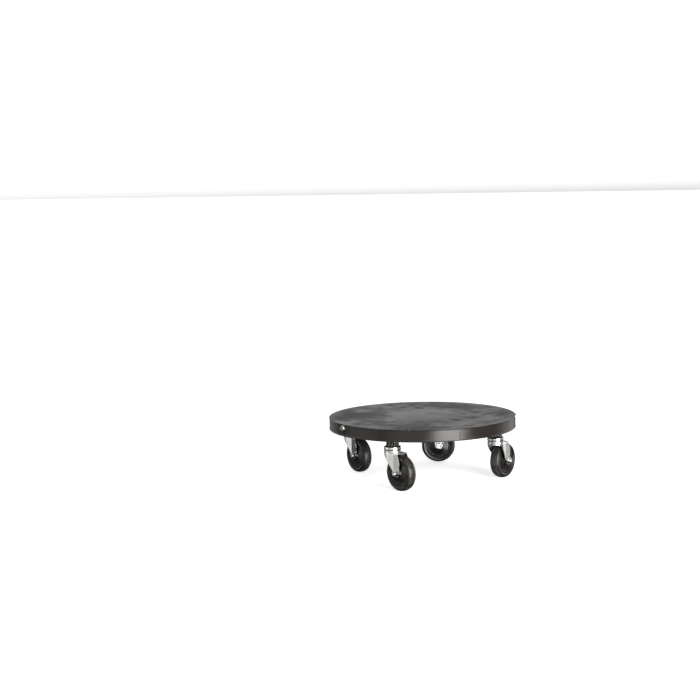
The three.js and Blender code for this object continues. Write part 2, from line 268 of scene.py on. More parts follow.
def worked(shell, sheet=0, eased=0, join=(), cut=(), crease=25):
    """A shell as a finished mesh: thickened inwards, edges eased, then joined and cut."""
    piece = rough_piece(shell)
    tools = []
    if sheet:
        thick = piece.modifiers.new("sheet", "SOLIDIFY")
        thick.thickness = sheet * MM
        thick.offset = -1
        thick.use_even_offset = True
    if eased:
        bevel = piece.modifiers.new("eased", "BEVEL")
        bevel.width = eased * MM
        bevel.segments = 2
        bevel.limit_method = "ANGLE"
        bevel.angle_limit = math.radians(50)
    for operation, shells in (("UNION", join), ("DIFFERENCE", cut)):
        for other in shells:
            tools.append(rough_piece(other))
            boolean = piece.modifiers.new("fitted", "BOOLEAN")
            boolean.solver = "EXACT"
            boolean.operation = operation
            boolean.object = tools[-1]
    bpy.context.view_layer.update()
    settled = piece.evaluated_get(bpy.context.evaluated_depsgraph_get())
    mesh = bpy.data.meshes.new_from_object(settled)
    for spare in (piece, *tools):
        bpy.data.objects.remove(spare)
    mesh.shade_smooth()
    mesh.set_sharp_from_angle(angle=math.radians(crease))
    return mesh


# ---------------------------------------------------------------- surface finishes


class Value:
    """A number that varies over a surface: a socket that takes Python's arithmetic."""

    def __init__(self, nodes, socket):
        self.nodes = nodes
        self.socket = socket

    def worked_out(self, operation, first, second):
        node = self.nodes.node("Math", {"operation": operation}, {0: first, 1: second})
        return Value(self.nodes, node.outputs[0])

    def __add__(self, other):
        return self.worked_out("ADD", self, other)

    def __radd__(self, other):
        return self.worked_out("ADD", other, self)

    def __sub__(self, other):
        return self.worked_out("SUBTRACT", self, other)

    def __rsub__(self, other):
        return self.worked_out("SUBTRACT", other, self)

    def __mul__(self, other):
        return self.worked_out("MULTIPLY", self, other)

    def __rmul__(self, other):
        return self.worked_out("MULTIPLY", other, self)

    def __pow__(self, other):
        return self.worked_out("POWER", self, other)

    def sine(self):
        return self.worked_out("SINE", self, 0)

    def size(self):
        """Its distance from zero."""
        return self.worked_out("ABSOLUTE", self, 0)

    def most(self, other):
        """The larger of the two."""
        return self.worked_out("MAXIMUM", self, other)

    def rise(self, start, end):
        """0 up to start and 1 from end on, eased between them; start may be the larger."""
        values = {"Value": self, "From Min": start, "From Max": end}
        node = self.nodes.node("MapRange", {"interpolation_type": "SMOOTHSTEP"}, values)
        return Value(self.nodes, node.outputs[0])


class Nodes:
    """A node tree, and the one way in which nodes are added to it."""

    def __init__(self, tree):
        self.tree = tree

    def feed(self, socket, value):
        if isinstance(value, Value):
            value = value.socket
        if isinstance(value, bpy.types.NodeSocket):
            self.tree.links.new(value, socket)
        elif socket.type == "RGBA":
            socket.default_value = (*value, 1)
        else:
            socket.default_value = value

    def node(self, kind, settings=None, inputs=None):
        """A node of any kind, its settings made first and then its sockets fed."""
        node = self.tree.nodes.new("ShaderNode" + kind)
        for name, value in (settings or {}).items():
            setattr(node, name, value)
        for name, value in (inputs or {}).items():
            self.feed(node.inputs[name], value)
        return node

    def mix(self, share, first, second):
        """A colour between two."""
        node = self.node("Mix", {"data_type": "RGBA"}, {0: share, 6: first, 7: second})
        return node.outputs[2]


class Finish(Nodes):
    """A surface finish: a material and the nodes that its look is made of."""

    def __init__(self, name, uniform):
        self.material = bpy.data.materials.new(name)
        self.material.use_nodes = True
        super().__init__(self.material.node_tree)
        self.shader = self.tree.nodes["Principled BSDF"]
        for socket, value in uniform.items():
            self.feed(self.shader.inputs[socket], value)
        point = self.node("TexCoord").outputs["Object"]
        split = self.node("SeparateXYZ", inputs={0: point})
        self.x, self.y, self.z = (Value(self, socket) for socket in split.outputs)
        chance = Value(self, self.node("ObjectInfo").outputs["Random"])
        shift = self.node("CombineXYZ", inputs={i: chance * 3.7 for i in range(3)})
        both = {0: point, 1: shift.outputs[0]}
        self.spot = self.node("VectorMath", {"operation": "ADD"}, both).outputs[0]

    def cloud(self, scale, detail=3, stretch=(1, 1, 1)):
        """Noise around 0.5, in patches about one over the scale across, in metres."""
        both = {0: self.spot, 1: stretch}
        place = self.node("VectorMath", {"operation": "MULTIPLY"}, both).outputs[0]
        inputs = {"Vector": place, "Scale": scale, "Detail": detail}
        return Value(self, self.node("TexNoise", None, inputs).outputs[0])

    def cells(self, scale, output="Distance"):
        """Irregular cells: the distance from each one's middle, or a shade for each."""
        inputs = {"Vector": self.spot, "Scale": scale}
        node = self.node("TexVoronoi", {"feature": "F1"}, inputs)
        if output == "Distance":
            return Value(self, node.outputs["Distance"])
        split = self.node("SeparateColor", inputs={0: node.outputs["Color"]})
        return Value(self, split.outputs[0])

    def radius(self, first, second):
        """The distance from an axis, from the two places across it."""
        return (first * first + second * second) ** 0.5

    def look(self, **sockets):
        """Feeds the shader; base_color stands for Base Color, and so on."""
        for name, value in sockets.items():
            self.feed(self.shader.inputs[name.replace("_", " ").title()], value)

    def relief(self, height, depth):
        """Fine relief, from a height of 0 to 1 and a depth in metres."""
        bump = self.node("Bump", None, {"Strength": 1.0, "Distance": depth, "Height": height})
        self.feed(self.shader.inputs["Normal"], bump.outputs[0])


ENAMEL = (0.0095, 0.0072, 0.0060)
ENAMEL_FADED = (0.0165, 0.0132, 0.0112)
ENAMEL_OVER_WELD = (0.09, 0.08, 0.072)
BARE_STEEL = (0.34, 0.33, 0.31)
TYRE_MARK = (0.010, 0.010, 0.011)
DUST = (0.125, 0.112, 0.098)
ZINC_TINT = (0.80, 0.815, 0.79)
ZINC_PAINTED_SHADE = (0.34, 0.36, 0.345)


def platform_enamel(name, sheen):
    """Satin brown-black enamel, a little orange-peeled, rubbed by tyres and worn at its edges."""
    finish = Finish(name, {"Specular IOR Level": sheen})
    from_middle = finish.radius(finish.x, finish.y)
    patches = finish.cloud(9, 4).rise(0.35, 0.7)
    streaks = finish.cloud(60, 3, (1, 1, 0.05)).rise(0.5, 0.8)
    top = finish.z.rise((DECK_HIGH.z - 1.2) * MM, (DECK_HIGH.z - 0.4) * MM)

    # Tyres stood on the outer half of the deck leave dark, rounded rubbing marks there.
    stood_on = from_middle.rise(105 * MM, 135 * MM) * from_middle.rise(284 * MM, 262 * MM)
    arcs = (from_middle * 900 + finish.cloud(14, 2) * 9).sine().rise(0.1, 0.95)
    rubbed = top * stood_on * finish.cloud(23, 5).rise(0.42, 0.66) * (0.75 + 0.25 * arcs)
    dusty = top * finish.cloud(5, 6).rise(0.42, 0.75) * (1 - rubbed)

    chips = finish.cloud(260, 3).rise(0.56, 0.62)
    deck_edge = top * from_middle.rise((PLATFORM_RADIUS - 4.5) * MM, (PLATFORM_RADIUS - 2.7) * MM)
    bead_edge = finish.z.rise((RIM_LOW.z + 1.6) * MM, (RIM_LOW.z + 0.3) * MM)
    wear = (deck_edge.most(bead_edge) * 0.7 + 0.3 * finish.cloud(700, 2).rise(0.7, 0.74)) * chips

    # The weld that closes the band was ground flush, and the band is coloured lighter and a little
    # smoother along it.
    along = finish.x * math.cos(SEAM_TURN) + finish.y * math.sin(SEAM_TURN)
    across = finish.y * math.cos(SEAM_TURN) - finish.x * math.sin(SEAM_TURN)
    seam = along.rise(260 * MM, 280 * MM) * across.size().rise(SEAM_WIDTH * MM, 0.3 * SEAM_WIDTH * MM)
    seam = seam * (1 - top)

    color = finish.mix(patches * 0.6 + streaks * 0.3, ENAMEL, ENAMEL_FADED)
    color = finish.mix(rubbed * 0.8, color, TYRE_MARK)
    color = finish.mix(dusty * 0.1, color, DUST)
    color = finish.mix(seam * 0.35, color, ENAMEL_OVER_WELD)
    color = finish.mix(wear, color, BARE_STEEL)
    rough = 0.29 + 0.06 * patches + 0.18 * rubbed + 0.22 * dusty - 0.06 * seam
    finish.look(base_color=color, roughness=rough, metallic=wear * 0.9)
    peel = finish.cloud(420, 2)
    scratches = finish.cloud(240, 4, (1, 0.06, 1)).rise(0.6, 0.72)
    finish.relief(peel * 0.5 + scratches * 0.2 - wear * 0.8 + seam * finish.cloud(700, 3), 0.00009)
    return finish.material


def black_enamel():
    """Satin black enamel, rubbed to steel on its high edges."""
    finish = Finish("black_enamel", {"Specular IOR Level": 0.22})
    from_axis = finish.radius(finish.x, finish.y)
    patches = finish.cloud(45, 4).rise(0.35, 0.7)
    edge = from_axis.rise((COLLAR_RADIUS - 0.35) * MM, COLLAR_RADIUS * MM)
    rubbed = edge * finish.cloud(330, 4).rise(0.5, 0.62)
    grime = finish.cloud(120, 5).rise(0.5, 0.8)
    color = finish.mix(patches, (0.0055, 0.0048, 0.0045), (0.011, 0.0098, 0.0092))
    color = finish.mix(grime * 0.2, color, (0.04, 0.035, 0.03))
    color = finish.mix(rubbed * 0.75, color, BARE_STEEL)
    finish.look(base_color=color, roughness=0.38 + 0.16 * patches, metallic=rubbed * 0.7)
    finish.relief(finish.cloud(900, 2) * 0.6 - rubbed * 0.4, 0.00006)
    return finish.material


def bright_zinc(name, spangle, roughness, painted_leg_shade=False):
    """Zinc-plated steel: mottled, faintly tinted, with fine scratches and a little grime.

    On a fork, painted shade: its flat legs are coloured darker and more mottled than its crown and
    webs, which get an evener, lighter tone. This stands in for the darker reflections the legs catch.
    """
    finish = Finish(name, {"IOR": 1.5})
    grains = finish.cells(spangle, "Color")
    fine_grains = finish.cells(spangle * 2.7, "Color")
    clouds = finish.cloud(spangle * 0.35, 5).rise(0.3, 0.72)
    mottle = grains * 0.45 + fine_grains * 0.25 + clouds * 0.3
    leg_shade = 0
    pits = finish.cloud(1500, 3).rise(0.66, 0.74)
    stain = finish.cloud(38, 6).rise(0.56, 0.74)
    handled = finish.cloud(300, 4, (0.08, 1, 0.08)).rise(0.6, 0.72)
    # Painted shade: the legs, behind the crease and below the crown, are coloured darker, and the
    # rest is made evener and lighter.
    if painted_leg_shade:
        leg = finish.x.rise((LEG_CREASE - 0.8) * MM, (LEG_CREASE + 0.8) * MM)
        leg = leg * finish.z.rise((CROWN_TOP - 2) * MM, (CROWN_TOP - 8) * MM)
        mottle = mottle * (0.3 + 0.7 * leg) + 0.5 * (1 - leg)
        leg_shade = leg * (0.35 + 0.35 * clouds)
    color = finish.mix(mottle, tuple(0.56 * part for part in ZINC_TINT), ZINC_TINT)
    # Mixes in the painted shade on the legs.
    color = finish.mix(leg_shade, color, ZINC_PAINTED_SHADE)
    color = finish.mix(stain * 0.45, color, (0.33, 0.315, 0.275))
    color = finish.mix(pits * 0.35, color, (0.2, 0.195, 0.18))
    rough = roughness + 0.1 * mottle + 0.12 * stain + 0.05 * handled
    finish.look(base_color=color, roughness=rough, metallic=1 - 0.3 * pits - 0.25 * stain)
    finish.relief(mottle * 0.5 + handled * 0.3 - pits * 0.6, 0.00005)
    return finish.material


def bearing_steel():
    """Turned and polished steel, with a film of dark grease here and there."""
    finish = Finish("bearing_steel", {})
    greasy = finish.cloud(160, 4).rise(0.52, 0.72)
    rings = finish.cloud(900, 2, (1, 1, 6))
    color = finish.mix(rings, (0.42, 0.43, 0.44), (0.62, 0.63, 0.64))
    color = finish.mix(greasy * 0.7, color, (0.05, 0.04, 0.028))
    finish.look(base_color=color, roughness=0.2 + 0.2 * greasy, metallic=1 - 0.6 * greasy)
    finish.relief(rings, 0.00003)
    return finish.material


def black_plastic():
    """Moulded black plastic with a soft sheen, and dust lodged in its groove."""
    finish = Finish("black_plastic", {"Specular IOR Level": 0.42})
    from_axle = finish.radius(finish.x, finish.z)
    scuffs = finish.cloud(150, 5).rise(0.54, 0.7)
    groove = from_axle.rise(36.2 * MM, 33.8 * MM) * from_axle.rise(30.5 * MM, 32.8 * MM)
    dusty = (groove * 0.8 + 0.25) * finish.cloud(70, 5).rise(0.4, 0.7)
    swirl = (from_axle * 9000 + finish.cloud(25, 2) * 3).sine()
    color = finish.mix(scuffs * 0.6, (0.0042, 0.0035, 0.0032), (0.0105, 0.0092, 0.0084))
    color = finish.mix(dusty * 0.3, color, (0.06, 0.053, 0.047))
    finish.look(base_color=color, roughness=0.3 + 0.14 * scuffs + 0.2 * dusty)
    finish.relief(finish.cloud(1400, 2) * 0.6 + swirl * 0.12, 0.00004)
    return finish.material


def black_rubber():
    """Hard black rubber: dusty and scuffed where it rolls, darker and ringed at its sides."""
    finish = Finish("black_rubber", {"Specular IOR Level": 0.3})
    from_axle = finish.radius(finish.x, finish.z)
    rolling = from_axle.rise(50.5 * MM, 54.2 * MM)
    patches = finish.cloud(55, 5).rise(0.3, 0.7)
    specks = finish.cloud(1100, 4).rise(0.58, 0.68)
    scuffs = finish.cloud(320, 4, (1, 0.25, 1)).rise(0.52, 0.68)
    rings = (from_axle * 5200).sine()
    color = finish.mix(patches, (0.0042, 0.0037, 0.0034), (0.0085, 0.0076, 0.007))
    dust = rolling * (0.1 + 0.26 * patches) + scuffs * 0.08 + specks * 0.05
    color = finish.mix(dust, color, (0.082, 0.072, 0.064))
    finish.look(base_color=color, roughness=0.28 + 0.05 * rolling + 0.08 * patches)
    side_rings = rings * (1 - rolling) * 0.12
    finish.relief(finish.cloud(1600, 3) * 0.5 + scuffs * 0.3 + side_rings, 0.00006)
    return finish.material


FINISHES = {
    "platform_paint": platform_enamel("band_enamel", 0.3),
    "black_paint": black_enamel(),
    "bright_zinc": bright_zinc("bright_zinc", 260, 0.2),
    "bearing_steel": bearing_steel(),
    "black_plastic": black_plastic(),
    "black_rubber": black_rubber(),
}
DECK_ENAMEL = platform_enamel("deck_enamel", 0.2)
# Zinc for the forks, with painted shade on their flat legs.
FORK_ZINC_LEG_SHADE = bright_zinc("fork_zinc_painted_leg_shade", 230, 0.21, painted_leg_shade=True)

# ---------------------------------------------------------------- putting pieces in place


def fit(node, name, mesh, place=Matrix(), finish=None):
    """Puts a finished mesh in a CAD node's stead, on its body and in its material slot."""
    piece = bpy.data.objects.new(name, mesh)
    bpy.context.scene.collection.objects.link(piece)
    piece.matrix_world = place
    mesh.materials.clear()
    mesh.materials.append(finish or FINISHES[SLOTS[node]])
    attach(piece, frame["nodes"][node]["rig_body"])
    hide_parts(node)
    return piece


def swivel_place(side):
    """Where a caster's swivel axis meets the floor."""
    x, y = JOINTS["swivel_" + side]["pos_m"][:2]
    return Matrix.Translation((x, y, 0))


def caster_place(side):
    """The caster's own frame: turned so that +X points to its axle."""
    across = JOINTS["roll_" + side]["axis"]
    heading = math.atan2(-across[0], across[1])
    return swivel_place(side) @ Matrix.Rotation(heading, 4, "Z")


def wheel_place(side):
    """The wheel's own frame, with its middle at the origin and its axle along Y."""
    return caster_place(side) @ Matrix.Translation((TRAIL * MM, 0, WHEEL_RADIUS * MM))


# ---------------------------------------------------------------- screws and nuts


def hex_reach(across, turn):
    """How far a hexagon reaches at a turn from one of its corners."""
    sixth = math.pi / 3
    return across / 2 / math.cos(turn % sixth - sixth / 2)


def chamfer_radius(across):
    """The round face that a hexagon's chamfer leaves at its end."""
    return across / 2 * 0.97


def hex_row(across, height, down=0):
    """A row round a hexagon; down is -1 or 1 to chamfer its corners below or above the row."""
    flat = chamfer_radius(across)
    slope = math.tan(math.radians(30))

    def row(turn):
        reach = hex_reach(across, turn)
        return reach, height - down * slope * max(0, reach - flat)

    return row


def hex_head(across, low, top, dish):
    """The rows of a bolt's head, up its side and over its slightly dished top."""
    depth = 0.35
    rows = [hex_row(across, low), hex_row(across, top, 1), (chamfer_radius(across), top)]
    return [*rows, (dish, top), (dish - 0.4, top - depth), (0, top - depth)]


def thread_rows(radius, low, high, pitch):
    """Ridges up a threaded shank."""
    rows = []
    height = low
    while height + pitch <= high:
        rows += [(radius - 0.55 * pitch, height), (radius, height + 0.42 * pitch)]
        rows.append((radius, height + 0.58 * pitch))
        height += pitch
    return [*rows, (radius - 0.55 * pitch, height)]


def hex_turns():
    return even_turns(72)


def anchor_screw():
    """A flanged hexagon screw along Z, its seat near the origin."""
    flange = rounded([(3.2, 0.3), (9.0, 0.3, 0.3), (8.8, 1.4, 0.4), (6.0, 2.4)], steps=3)
    profile = [
        (0, -ANCHOR_LENGTH),
        *thread_rows(ANCHOR_SHANK, -ANCHOR_LENGTH, 0, ANCHOR_PITCH),
        *flange[1:-1],
        *hex_head(ANCHOR_HEX, 2.2, ANCHOR_HEAD, 5.3),
    ]
    return worked(spun(profile, hex_turns()))


def hex_nut(across, low, high, hole):
    """A plain hexagon nut along Z, chamfered at both ends."""
    flat = chamfer_radius(across)
    profile = [
        (hole + 0.6, low),
        (flat, low),
        hex_row(across, low, -1),
        hex_row(across, high, 1),
        (flat, high),
        (hole + 0.6, high),
        (hole, high - 0.6),
        (hole, low + 0.6),
    ]
    return worked(spun(ring_profile(profile), hex_turns()))


def lock_nut(across, height, hole):
    """A self-locking nut along Z, seated at the origin, with a domed collar round its insert."""
    flat = chamfer_radius(across)
    shoulder = height - 2.2
    dome = rounded([(flat - 0.6, shoulder), (flat - 0.8, height, 1.1), (hole + 0.7, height)])
    profile = [
        (hole + 0.5, 0),
        (flat, 0),
        hex_row(across, 0, -1),
        hex_row(across, shoulder, 1),
        (flat, shoulder),
        *dome,
        (hole, height - 0.5),
        (hole, 0.5),
    ]
    return worked(spun(ring_profile(profile), hex_turns()))


# ---------------------------------------------------------------- platform


def deck():
    edge = [(0, DECK_LOW.z), (PLATFORM_RADIUS, DECK_LOW.z, DECK_EDGE)]
    edge += [(PLATFORM_RADIUS, DECK_HIGH.z, DECK_EDGE), (0, DECK_HIGH.z)]
    return worked(spun(rounded(edge), 256))


def rim():
    """The band, with a bead rolled along its lower edge and a low weld where it closes."""
    face = PLATFORM_RADIUS - RIM_SET_BACK
    inside = face - RIM_SHEET
    bead = (PLATFORM_RADIUS - BEAD_RADIUS, RIM_LOW.z + BEAD_RADIUS)
    above = bead[1] + BEAD_RADIUS

    def over_seam(radius, height):
        def row(turn):
            away = math.remainder(turn - SEAM_TURN, 2 * math.pi) * face / SEAM_WIDTH
            ripple = 1 + 0.3 * math.sin(height * 3.1)
            return radius + SEAM_HEIGHT * ripple * math.exp(-2 * away * away), height

        return row

    steps = 24
    heights = [above + 1.2 + (RIM_HIGH.z - 0.4 - above - 1.2) * i / steps for i in range(steps + 1)]
    profile = [
        (inside, above),
        *arc(bead, BEAD_RADIUS, 215, 395, 12),
        (face + 0.15, above + 0.3),
        *[over_seam(face, height) for height in heights],
        (face - 0.4, RIM_HIGH.z),
        (inside + 0.4, RIM_HIGH.z),
        (inside, RIM_HIGH.z - 0.4),
    ]
    step = SEAM_WIDTH / 4 / face
    near_seam = [(SEAM_TURN + step * i) % (2 * math.pi) for i in range(-8, 9)]
    turns = sorted(even_turns(240) + near_seam)
    holes = [moved(rod(ANCHOR_SHANK + 0.3, -20, 20), anchor_frame(t)) for t in ANCHOR_TURNS.values()]
    return worked(spun(ring_profile(profile), turns), cut=holes)


def anchor_frame(turn):
    """An anchor screw's frame, in millimetres: +Z points out through the band."""
    face = PLATFORM_RADIUS - RIM_SET_BACK
    out = Matrix.Translation((face, 0, ANCHOR_HEIGHT)) @ Matrix.Rotation(math.pi / 2, 4, "Y")
    return Matrix.Rotation(turn, 4, "Z") @ out


def channel(start, end, stems):
    """A folded channel along X, its web down."""
    half = CHANNEL_HIGH.y
    inner = half - CHANNEL_SHEET
    low = CHANNEL_LOW.z
    top = CHANNEL_HIGH.z
    bend = CHANNEL_BEND
    inner_bend = bend - CHANNEL_SHEET
    section = [(-half, top), (-half, low, bend), (half, low, bend), (half, top), (inner, top)]
    section += [(inner, low + CHANNEL_SHEET, inner_bend), (-inner, low + CHANNEL_SHEET, inner_bend)]
    section.append((-inner, top))
    along = Matrix(((0, 0, 1, 0), (1, 0, 0, 0), (0, 1, 0, 0), (0, 0, 0, 1)))
    bar = moved(extruded(rounded(section, closed=True), start, end), along)
    hole = rod(STEM_HOLE, low - 5, low + 5)
    holes = [moved(hole, Matrix.Translation((x, 0, 0))) for x in stems]
    return worked(bar, eased=0.35, cut=holes)


def gusset():
    half = GUSSET_HIGH.x
    flat = half - GUSSET_CUT
    corners = [(-flat, -half), (flat, -half), (half, -flat), (half, flat)]
    corners += [(-x, -y) for x, y in corners]
    outline = rounded([(x, y, 4) for x, y in corners], closed=True)
    return worked(extruded(outline, GUSSET_LOW.z, GUSSET_HIGH.z), eased=0.35)


def platform():
    stem = JOINTS["swivel_right"]["pos_m"][0] / MM
    back_low, back_high = box_mm("cross_channel_back")
    fit("deck_plate", "deck_sheet", deck(), finish=DECK_ENAMEL)
    fit("rim_band", "rolled_rim", rim())
    long_channel = channel(CHANNEL_LOW.x, CHANNEL_HIGH.x, [-stem, stem])
    fit("cross_channel_long", "folded_channel_long", long_channel)
    half_channel = channel(back_low.y, back_high.y, [stem])
    for side, turn in (("back", 90), ("front", -90)):
        place = Matrix.Rotation(math.radians(turn), 4, "Z")
        fit("cross_channel_" + side, "folded_channel_" + side, half_channel.copy(), place)
    fit("centre_gusset", "gusset_sheet", gusset())
    screw = anchor_screw()
    nut = hex_nut(ANCHOR_HEX, -RIM_SHEET - 7.5, -RIM_SHEET - 1, ANCHOR_SHANK + SEAT_GAP)
    for side, turn in ANCHOR_TURNS.items():
        place = anchor_frame(turn)
        place.translation *= MM
        fit("anchor_bolt_" + side, "anchor_screw_" + side, screw.copy(), place)
        fit("anchor_nut_" + side, "anchor_hexnut_" + side, nut.copy(), place)


# ---------------------------------------------------------------- caster, fixed side


def collar():
    """The round lock collar, with finger flutes up its side."""

    def fluted(inset, height):
        def row(turn):
            flute = (0.5 + 0.5 * math.cos(COLLAR_FLUTES * turn)) ** 2.5
            return COLLAR_RADIUS - inset - FLUTE_DEPTH * flute, height

        return row

    low, high = COLLAR_LOW.z, COLLAR_HIGH.z
    ease = 1.6
    steps = [math.radians(angle) for angle in (0, 22.5, 45, 67.5, 90)]
    lower = [fluted(ease * (1 - math.sin(a)), low + ease * (1 - math.cos(a))) for a in steps]
    upper = [fluted(ease * (1 - math.cos(a)), high - ease * (1 - math.sin(a))) for a in steps]
    hole = STEM_RADIUS + SEAT_GAP
    profile = [(hole, low), (15, low), *lower, *upper, (15, high), (hole, high)]
    return worked(spun(ring_profile(profile), COLLAR_FLUTES * 16), crease=40)


def race():
    """The upper ball race: a pressed cap with a rounded shoulder and a rolled lip."""
    outside = [
        (RACE_RADIUS - RACE_SHEET, RACE_LOW.z),
        (RACE_RADIUS, RACE_LOW.z, 0.9),
        (RACE_RADIUS, RACE_LOW.z + 3.2, 0.5),
        (RACE_RADIUS - 0.6, RACE_LOW.z + 3.9, 0.5),
        (RACE_RADIUS - 0.6, RACE_HIGH.z, 4.4),
        (STEM_RADIUS + SEAT_GAP, RACE_HIGH.z),
    ]
    inside = [
        (STEM_RADIUS + SEAT_GAP, RACE_CEILING),
        (RACE_RADIUS - RACE_SHEET - 0.6, RACE_CEILING, 3),
        (RACE_RADIUS - RACE_SHEET - 0.6, RACE_LOW.z + 3),
    ]
    profile = rounded(outside) + rounded(inside)
    return worked(spun(ring_profile(profile)), crease=40)


def king_pin():
    """The kingpin: a riveted head under the fork, and a threaded stem up into the channel."""
    head = [
        (0, PIN_LOW.z),
        (8.5, PIN_LOW.z, 2),
        (PIN_HEAD_RADIUS, PIN_HEAD_TOP - 2.2, 1.2),
        (PIN_HEAD_RADIUS, PIN_HEAD_TOP, 0.6),
        (PIN_RADIUS, PIN_HEAD_TOP, 0.5),
        (PIN_RADIUS, RACE_HIGH.z - 3),
    ]
    stem = thread_rows(STEM_RADIUS, RACE_HIGH.z - 2, PIN_HIGH.z - 1, STEM_PITCH)
    top = [(STEM_RADIUS - 1.6, PIN_HIGH.z), (0, PIN_HIGH.z)]
    return worked(spun(rounded(head) + stem + top, 64), crease=40)


# ---------------------------------------------------------------- caster, swivel side


def fork_line():
    """The outer face of the fork's skirt from above, from a leg's rear round to the other's.

    The leg is flat behind its crease. In front of it a web runs out to meet the round nose.
    """
    reach = math.hypot(LEG_CREASE, LEG_FACE)
    touch = math.atan2(LEG_FACE, LEG_CREASE) + math.acos(NOSE_RADIUS / reach)
    meet = (NOSE_RADIUS * math.cos(touch), NOSE_RADIUS * math.sin(touch))
    around_tip = [TRAIL + LEG_TIP_RADIUS * math.cos(math.radians(7.5 * i)) for i in range(23)]
    strip = [(x, LEG_FACE) for x in sorted({*around_tip, CROWN_REAR}, reverse=True)]
    fold = rounded([(30, LEG_FACE), (LEG_CREASE, LEG_FACE, 5), meet])[2:-2]
    steps = 9
    web = [Vector(fold[-1]).lerp(Vector(meet), i / steps) for i in range(1, steps)]
    nose = arc((0, 0), NOSE_RADIUS, math.degrees(touch), 180, 24)
    half = [*strip, *fold, *[tuple(point) for point in web], *nose]
    return half + [(x, -y) for x, y in reversed(half[:-1])]


def height_at(line, x):
    """The height of a line drawn from front to rear, at a place along it."""
    for (x0, z0), (x1, z1) in zip(line, line[1:]):
        if x0 <= x <= x1:
            return z0 + (z1 - z0) * (x - x0) / max(x1 - x0, 1e-9)
    return line[-1][1]


def fork():
    """The fork: one sheet folded down from a flat crown, with the lower race's cup on top."""
    line = [Vector(point) for point in fork_line()]
    axle = (TRAIL, WHEEL_RADIUS)
    lower = [(-30, NOSE_BOTTOM), (-10, NOSE_BOTTOM, 3), (-7, 106, 3), (3, 91, 30), (17, 71, 20)]
    tip = arc(axle, LEG_TIP_RADIUS, 200, 360, 32)
    lower = rounded([*lower, tip[0]]) + tip[1:]
    wall_top = CROWN_TOP - FORK_BEND
    rear = rounded([(CROWN_REAR, wall_top), (46, 107, 4), (TRAIL + LEG_TIP_RADIUS, 92)])

    def outward(i):
        ahead = line[min(i + 1, len(line) - 1)] - line[max(i - 1, 0)]
        return Vector((-ahead.y, ahead.x)).normalized() * -1

    def wall(i):
        x, y = line[i]
        top = height_at(rear, x) if x > CROWN_REAR else wall_top
        bottom = height_at(lower, x)
        return [(x, y, top + (bottom - top) * k / 14) for k in range(15)]

    def fold(i):
        rows = []
        for k in range(6):
            lean = math.pi / 2 * k / 5
            x, y = line[i] - outward(i) * FORK_BEND * (1 - math.cos(lean))
            rows.append((x, y, wall_top + FORK_BEND * math.sin(lean)))
        return rows

    def crown(x, y):
        centre = Vector((x, y)).normalized() * CROWN_HOLE
        edge = Vector((x, y))
        points = [edge.lerp(centre, share) for share in (0, 0.15, 0.5, 1)]
        return [(*point, CROWN_TOP) for point in points]

    under_crown = [i for i, point in enumerate(line) if point.x <= CROWN_REAR + 1e-6]
    folds = [fold(i) for i in under_crown]
    rim_points = [column[-1][:2] for column in folds]
    start, end = Vector(rim_points[-1]), Vector(rim_points[0])
    rim_points += [tuple(start.lerp(end, k / 14)) for k in range(1, 14)]
    sheet = together(
        grid([wall(i) for i in range(len(line))]),
        grid(folds),
        grid([crown(*point) for point in rim_points], closed=True),
    )
    cup = [
        (CUP_RADIUS - FORK_SHEET, CROWN_TOP - 1.5),
        (CUP_RADIUS, CROWN_TOP - 1.5),
        (CUP_RADIUS, CUP_TOP, 1.5),
        (PIN_RADIUS + 0.1, CUP_TOP),
    ]
    under_cup = [(PIN_RADIUS + 0.1, CUP_TOP - FORK_SHEET)]
    under_cup.append((CUP_RADIUS - FORK_SHEET, CUP_TOP - FORK_SHEET))
    cup_shell = spun(ring_profile(rounded(cup) + under_cup))
    to_axle = Matrix.Translation((TRAIL, 0, WHEEL_RADIUS)) @ Matrix.Rotation(math.pi / 2, 4, "X")
    axle_hole = moved(rod(AXLE_RADIUS + SEAT_GAP, -40, 40), to_axle)
    return worked(sheet, sheet=FORK_SHEET, eased=0.45, join=[cup_shell], cut=[axle_hole])


def ball_ring(circle, ball, height, count):
    """Bearing balls in a thin cage."""
    cage = spun([(circle + x, height + z) for x, z in arc((0, 0), 0.8, 0, 360, 12)], 48)
    balls = []
    for turn in even_turns(count):
        profile = arc((0, 0), ball, -90, 90, 12)
        place = Vector((circle * math.cos(turn), circle * math.sin(turn), height))
        balls.append(moved(spun(profile, 24), Matrix.Translation(place)))
    return worked(together(cage, *balls))


AXLE_SEAT = LEG_FACE + SEAT_GAP
ALONG_AXLE = Matrix.Rotation(-math.pi / 2, 4, "X")  # takes Z to Y
OTHER_WAY = Matrix.Rotation(math.pi / 2, 4, "X")  # takes Z to -Y


def axle_screw():
    """The axle bolt along Z: a hexagon head outside one leg, the thread beyond the other."""
    thread_start = -AXLE_SEAT - AXLE_END
    profile = [
        (0, thread_start),
        *thread_rows(AXLE_RADIUS, thread_start, -AXLE_SEAT + 1, AXLE_PITCH),
        (AXLE_RADIUS, -AXLE_SEAT + 3),
        (AXLE_RADIUS, AXLE_SEAT),
        (chamfer_radius(AXLE_HEX), AXLE_SEAT),
        *hex_head(AXLE_HEX, AXLE_SEAT + 0.3, AXLE_SEAT + AXLE_HEAD, 6.6),
    ]
    return worked(spun(profile, hex_turns()))


def axle_tube():
    half = LEG_FACE - FORK_SHEET - SEAT_GAP
    inner, outer = AXLE_RADIUS + SEAT_GAP, SLEEVE_RADIUS
    profile = [(inner, -half), (outer - 0.4, -half), (outer, 0.4 - half)]
    profile += [(outer, half - 0.4), (outer - 0.4, half), (inner, half)]
    return worked(spun(ring_profile(profile), 48))


# ---------------------------------------------------------------- wheel


def mirrored(side):
    """A closed profile from its half: (radius, half width), outer surface to inner surface."""
    return ring_profile([*side, *[(r, -w) for r, w in reversed(side)]])


